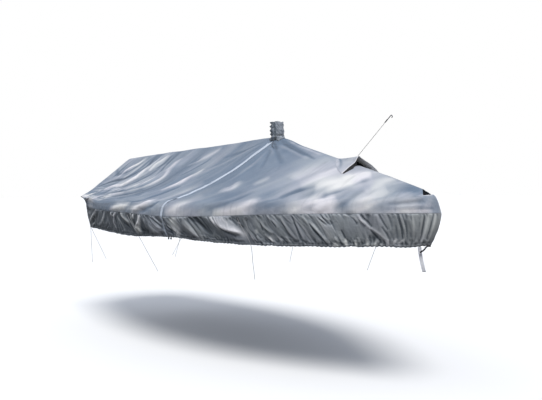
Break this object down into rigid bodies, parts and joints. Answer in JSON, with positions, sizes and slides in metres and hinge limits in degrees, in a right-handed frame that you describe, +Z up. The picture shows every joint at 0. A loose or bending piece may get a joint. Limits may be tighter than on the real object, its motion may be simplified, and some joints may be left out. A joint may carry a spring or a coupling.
{
  "type": "mast-up dinghy boat cover",
  "caption": "Mast-up dinghy cover: grey cloth draped over a boom as a ridge tent, with a gathered skirt, mast sleeve, raised bow vent and tie cords.",
  "frame": {"origin": "on the centreline at the mast's axis, just under the ridge of the cloth, where the cover hangs from the boom and mast it is drawn over", "axes": "+X to the bow, +Y to port, +Z up"},
  "size_m": [4.6785, 1.7846, 1.3606],
  "materials": {
    "top_cloth": "woven polyester, silver blue-grey, slight sheen",
    "skirt_cloth": "woven polyester, dark grey, puckered along the seam and hem",
    "white_webbing": "flat woven tape",
    "light_cord": "braided cord",
    "dark_cord": "black shock cord",
    "black_mesh": "open black mesh",
    "black_plastic": "moulded",
    "ring_metal": "dark, dulled by weather"
  },
  "bodies": {
    "root": {"bow_hook": "dark_cord", "bow_strap": "white_webbing", "closure_tape_lower_port": "white_webbing", "closure_tape_lower_starboard": "white_webbing", "closure_tape_upper_port": "white_webbing", "closure_tape_upper_starboard": "white_webbing", "closure_toggle_port_1": "black_plastic", "closure_toggle_port_2": "black_plastic", "closure_toggle_starboard_1": "black_plastic", "closure_toggle_starboard_2": "black_plastic", "collar_lashing": "light_cord", "mast_collar": "top_cloth", "skirt_aft_port": "skirt_cloth", "skirt_aft_starboard": "skirt_cloth", "skirt_fore_port": "skirt_cloth", "skirt_fore_starboard": "skirt_cloth", "skirt_stern": "skirt_cloth", "stern_panel": "top_cloth", "tie_aft_port": "light_cord", "tie_aft_starboard": "light_cord", "tie_mid_port": "light_cord", "tie_mid_starboard": "light_cord", "tie_ring_aft_port": "ring_metal", "tie_ring_aft_starboard": "ring_metal", "tie_ring_mid_port": "ring_metal", "tie_ring_mid_starboard": "ring_metal", "tie_ring_spare_port": "ring_metal", "tie_ring_spare_starboard": "ring_metal", "tie_ring_stern_inner_port": "ring_metal", "tie_ring_stern_inner_starboard": "ring_metal", "tie_ring_stern_outer_port": "ring_metal", "tie_ring_stern_outer_starboard": "ring_metal", "tie_stern_inner_port": "light_cord", "tie_stern_inner_starboard": "light_cord", "tie_stern_outer_port": "light_cord", "tie_stern_outer_starboard": "light_cord", "top_aft": "top_cloth", "top_fore": "top_cloth", "vent_hood": "top_cloth", "vent_lift_hook": "ring_metal", "vent_lift_line": "light_cord", "vent_mesh": "black_mesh"}
  },
  "joints": []
}
